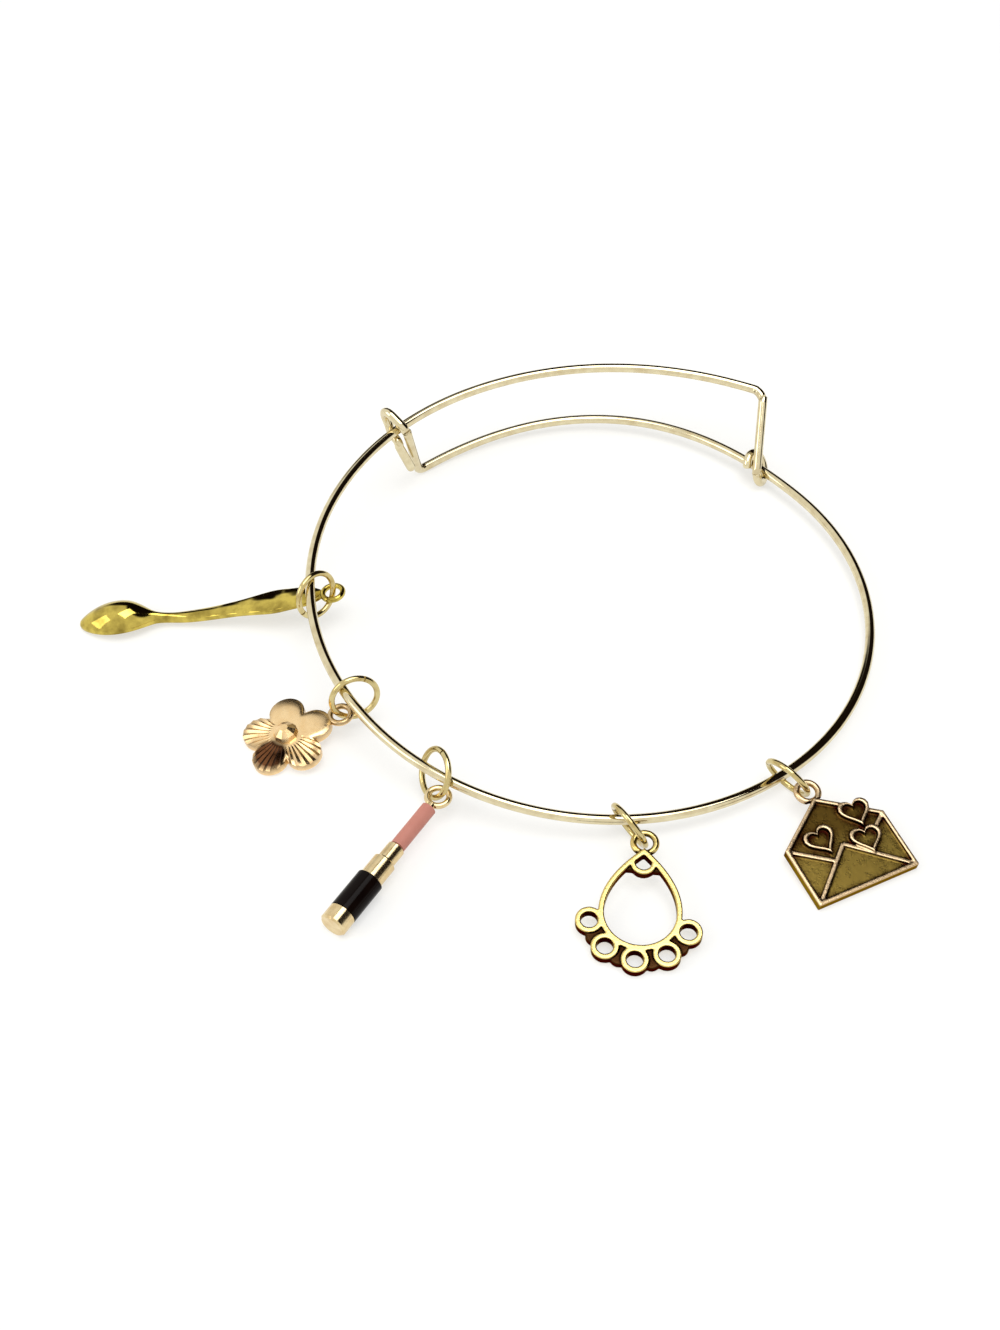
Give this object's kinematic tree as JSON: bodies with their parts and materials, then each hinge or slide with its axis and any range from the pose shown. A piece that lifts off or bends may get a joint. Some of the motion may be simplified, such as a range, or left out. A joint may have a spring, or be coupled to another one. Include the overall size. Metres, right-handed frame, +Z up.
{
  "type": "charm bangle",
  "caption": "Thin expandable wire bangle with a sliding hook at each end and small cast charms hung on split jump rings.",
  "frame": {"origin": "middle of the wire ring, on the floor that the bangle lies on", "axes": "+Z up, through the hollow where the wrist goes; +X to the right and +Y away from the viewer of the picture, with the sliding hooks at the far side"},
  "size_m": [0.0887, 0.0814, 0.0116],
  "materials": {
    "pale_gold_wire": "polished pale gold plate",
    "pale_gold_ring": "polished pale gold plate",
    "yellow_gold": "bright polished yellow gold plate",
    "peach_gold": "satin peach gold plate",
    "lipstick_gold": "polished gold plate",
    "black_enamel": "glossy black enamel",
    "pink_enamel": "glossy dusty pink enamel",
    "antique_gold": "gold plate with dark antique recesses",
    "antique_brass": "dark antique plate with rubbed rims"
  },
  "bodies": {
    "root": {"bangle_wire": "pale_gold_wire", "spoon_ring": "pale_gold_ring", "flower_ring": "pale_gold_ring", "lipstick_ring": "pale_gold_ring", "teardrop_ring": "pale_gold_ring", "envelope_ring": "pale_gold_ring", "spoon_charm": "yellow_gold", "flower_charm": "peach_gold", "lipstick_body": "lipstick_gold", "lipstick_black_enamel": "black_enamel", "lipstick_pink_enamel": "pink_enamel", "teardrop_charm": "antique_gold", "envelope_charm": "antique_brass"}
  },
  "joints": []
}
